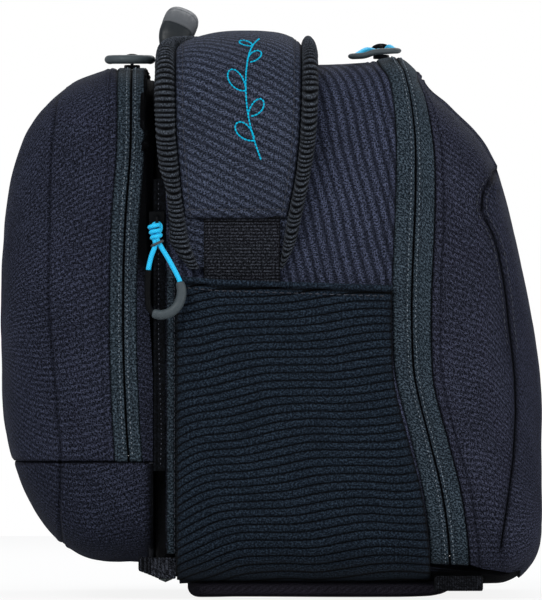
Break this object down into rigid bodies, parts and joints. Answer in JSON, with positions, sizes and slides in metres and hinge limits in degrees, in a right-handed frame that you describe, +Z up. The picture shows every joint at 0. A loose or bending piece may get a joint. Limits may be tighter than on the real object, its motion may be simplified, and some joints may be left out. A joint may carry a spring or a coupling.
{
  "type": "bicycle front bag",
  "caption": "Boxy cloth front bag with a round-backed rear compartment, zip-open front cover, stretch side pockets, shoulder strap and tubular carrier frame.",
  "frame": {"origin": "centre of the bounding box's bottom, on the surface that the bag stands on", "axes": "+Z up, +X from the rear compartment to the front cover, +Y from the near side to the far side"},
  "size_m": [0.2696, 0.4008, 0.2987],
  "materials": {
    "back_panel": "moulded sheet, matt",
    "base_board": "moulded sheet, matt",
    "carrier_block": "moulded plastic, satin",
    "corner_tab_far": "ribbed webbing, matt",
    "corner_tab_near": "ribbed webbing, matt",
    "frame_crossbar_lower": "powder-coated tube, satin",
    "frame_crossbar_upper": "powder-coated tube, satin",
    "frame_lug_far": "moulded plastic, satin",
    "frame_lug_near": "moulded plastic, satin",
    "frame_tube": "powder-coated tube, satin",
    "front_cover": "charcoal woven cloth, matt",
    "front_puller_cord": "braided cord, matt",
    "front_puller_sleeve": "moulded plastic, satin",
    "front_slider": "moulded plastic, satin",
    "front_zip_bag_tape": "woven zip tape, matt",
    "front_zip_cover_tape": "woven zip tape, matt",
    "gap_puller_cord_far": "braided cord, matt",
    "gap_puller_cord_near": "braided cord, matt",
    "gap_puller_sleeve_far": "moulded plastic, satin",
    "gap_puller_sleeve_near": "moulded plastic, satin",
    "gap_slider_far": "moulded plastic, satin",
    "gap_slider_near": "moulded plastic, satin",
    "gap_zip_bag_tape_far": "woven zip tape, matt",
    "gap_zip_bag_tape_near": "woven zip tape, matt",
    "gap_zip_rear_tape_far": "woven zip tape, matt",
    "gap_zip_rear_tape_near": "woven zip tape, matt",
    "handle_end_far": "moulded plastic, satin",
    "handle_end_near": "moulded plastic, satin",
    "handle_grip": "soft moulded grip, matt",
    "handle_pin_far": "turned pin, satin",
    "handle_pin_near": "turned pin, satin",
    "inner_base_board": "moulded sheet, matt",
    "main_bottom_panel": "charcoal woven cloth, matt",
    "main_side_panel_far": "charcoal woven cloth, matt",
    "main_side_panel_near": "charcoal woven cloth, matt",
    "main_top_panel": "charcoal woven cloth, matt",
    "pocket_binding_far": "charcoal woven cloth, matt",
    "pocket_binding_near": "charcoal woven cloth, matt",
    "pocket_hem_far": "ribbed webbing, matt",
    "pocket_hem_near": "ribbed webbing, matt",
    "pocket_panel_far": "dark ribbed stretch cloth, matt",
    "pocket_panel_near": "dark ribbed stretch cloth, matt",
    "rear_binding_far": "woven zip tape, matt",
    "rear_binding_near": "woven zip tape, matt",
    "rear_cover": "charcoal woven cloth, matt",
    "rear_front_wall": "charcoal woven cloth, matt",
    "rear_lower_panel": "charcoal woven cloth, matt",
    "rear_puller_cord": "braided cord, matt",
    "rear_puller_sleeve": "moulded plastic, satin",
    "rear_slider": "moulded plastic, satin",
    "rear_zip_cover_tape": "woven zip tape, matt",
    "rear_zip_wall_tape": "woven zip tape, matt",
    "strap_pad_back": "spacer mesh, matt",
    "strap_pad_front": "charcoal woven cloth, matt",
    "strap_webbing_far": "ribbed webbing, matt",
    "strap_webbing_near": "ribbed webbing, matt",
    "zip_end_tab_far": "ribbed webbing, matt",
    "zip_end_tab_near": "ribbed webbing, matt"
  },
  "bodies": {
    "main_body": {"main_top_panel": "main_top_panel", "main_bottom_panel": "main_bottom_panel", "main_side_panel_near": "main_side_panel_near", "main_side_panel_far": "main_side_panel_far", "back_panel": "back_panel", "inner_base_board": "inner_base_board", "base_board": "base_board", "front_zip_bag_tape": "front_zip_bag_tape", "gap_zip_bag_tape_near": "gap_zip_bag_tape_near", "gap_zip_bag_tape_far": "gap_zip_bag_tape_far", "pocket_panel_near": "pocket_panel_near", "pocket_panel_far": "pocket_panel_far", "pocket_binding_near": "pocket_binding_near", "pocket_binding_far": "pocket_binding_far", "pocket_hem_near": "pocket_hem_near", "pocket_hem_far": "pocket_hem_far", "rear_binding_near": "rear_binding_near", "rear_binding_far": "rear_binding_far", "strap_pad_back": "strap_pad_back", "strap_pad_front": "strap_pad_front", "strap_webbing_near": "strap_webbing_near", "strap_webbing_far": "strap_webbing_far", "zip_end_tab_near": "zip_end_tab_near", "zip_end_tab_far": "zip_end_tab_far", "corner_tab_near": "corner_tab_near", "corner_tab_far": "corner_tab_far", "frame_tube": "frame_tube", "frame_crossbar_lower": "frame_crossbar_lower", "frame_crossbar_upper": "frame_crossbar_upper", "carrier_block": "carrier_block", "frame_lug_near": "frame_lug_near", "frame_lug_far": "frame_lug_far", "handle_pin_near": "handle_pin_near", "handle_pin_far": "handle_pin_far"},
    "rear_compartment_body": {"rear_front_wall": "rear_front_wall", "rear_lower_panel": "rear_lower_panel", "rear_zip_wall_tape": "rear_zip_wall_tape", "gap_zip_rear_tape_near": "gap_zip_rear_tape_near", "gap_zip_rear_tape_far": "gap_zip_rear_tape_far"},
    "rear_cover_body": {"rear_cover": "rear_cover", "rear_zip_cover_tape": "rear_zip_cover_tape"},
    "front_cover_body": {"front_cover": "front_cover", "front_zip_cover_tape": "front_zip_cover_tape"},
    "carry_handle": {"handle_grip": "handle_grip", "handle_end_near": "handle_end_near", "handle_end_far": "handle_end_far"},
    "rear_slider_body": {"rear_slider": "rear_slider"},
    "rear_puller": {"rear_puller_cord": "rear_puller_cord", "rear_puller_sleeve": "rear_puller_sleeve"},
    "front_slider_body": {"front_slider": "front_slider"},
    "front_puller": {"front_puller_cord": "front_puller_cord", "front_puller_sleeve": "front_puller_sleeve"},
    "gap_slider_near_body": {"gap_slider_near": "gap_slider_near"},
    "gap_puller_near": {"gap_puller_cord_near": "gap_puller_cord_near", "gap_puller_sleeve_near": "gap_puller_sleeve_near"},
    "gap_slider_far_body": {"gap_slider_far": "gap_slider_far"},
    "gap_puller_far": {"gap_puller_cord_far": "gap_puller_cord_far", "gap_puller_sleeve_far": "gap_puller_sleeve_far"}
  },
  "joints": [
    {"name": "compartment_hinge", "type": "hinge", "parent": "main_body", "child": "rear_compartment_body", "pos_m": [-0.06, 0, 0.0175], "axis": [0, -1, 0], "range_deg": [0, 25]},
    {"name": "rear_cover_hinge", "type": "hinge", "parent": "rear_compartment_body", "child": "rear_cover_body", "pos_m": [-0.131, 0, 0.0685], "axis": [0, -1, 0], "range_deg": [0, 45]},
    {"name": "front_cover_hinge", "type": "hinge", "parent": "main_body", "child": "front_cover_body", "pos_m": [0.1237, 0, 0.0065], "axis": [0, 1, 0], "range_deg": [0, 75]},
    {"name": "handle_hinge", "type": "hinge", "parent": "main_body", "child": "carry_handle", "pos_m": [-0.053, 0, 0.274], "axis": [0, -1, 0], "range_deg": [0, 80]},
    {"name": "rear_zip_slide", "type": "slide", "parent": "rear_cover_body", "child": "rear_slider_body", "axis": [0, 1, 0], "range_m": [0, 0.22]},
    {"name": "rear_puller_hinge", "type": "hinge", "parent": "rear_slider_body", "child": "rear_puller", "pos_m": [-0.06999, -0.11, 0.26985], "axis": [-1, 0, 0], "range_deg": [0, 180]},
    {"name": "front_zip_slide", "type": "slide", "parent": "front_cover_body", "child": "front_slider_body", "axis": [0, 1, 0], "range_m": [0, 0.22]},
    {"name": "front_puller_hinge", "type": "hinge", "parent": "front_slider_body", "child": "front_puller", "pos_m": [0.0555, -0.11, 0.27503], "axis": [-1, 0, 0], "range_deg": [0, 180]},
    {"name": "gap_zip_slide_near", "type": "slide", "parent": "main_body", "child": "gap_slider_near_body", "axis": [0, 0, 1], "range_m": [-0.112, 0.004]},
    {"name": "gap_puller_hinge_near", "type": "hinge", "parent": "gap_slider_near_body", "child": "gap_puller_near", "pos_m": [-0.057, -0.18945, 0.188], "axis": [-1, 0, 0], "range_deg": [0, 135]},
    {"name": "gap_zip_slide_far", "type": "slide", "parent": "main_body", "child": "gap_slider_far_body", "axis": [0, 0, 1], "range_m": [-0.112, 0.004]},
    {"name": "gap_puller_hinge_far", "type": "hinge", "parent": "gap_slider_far_body", "child": "gap_puller_far", "pos_m": [-0.057, 0.18945, 0.188], "axis": [1, 0, 0], "range_deg": [0, 135]}
  ]
}
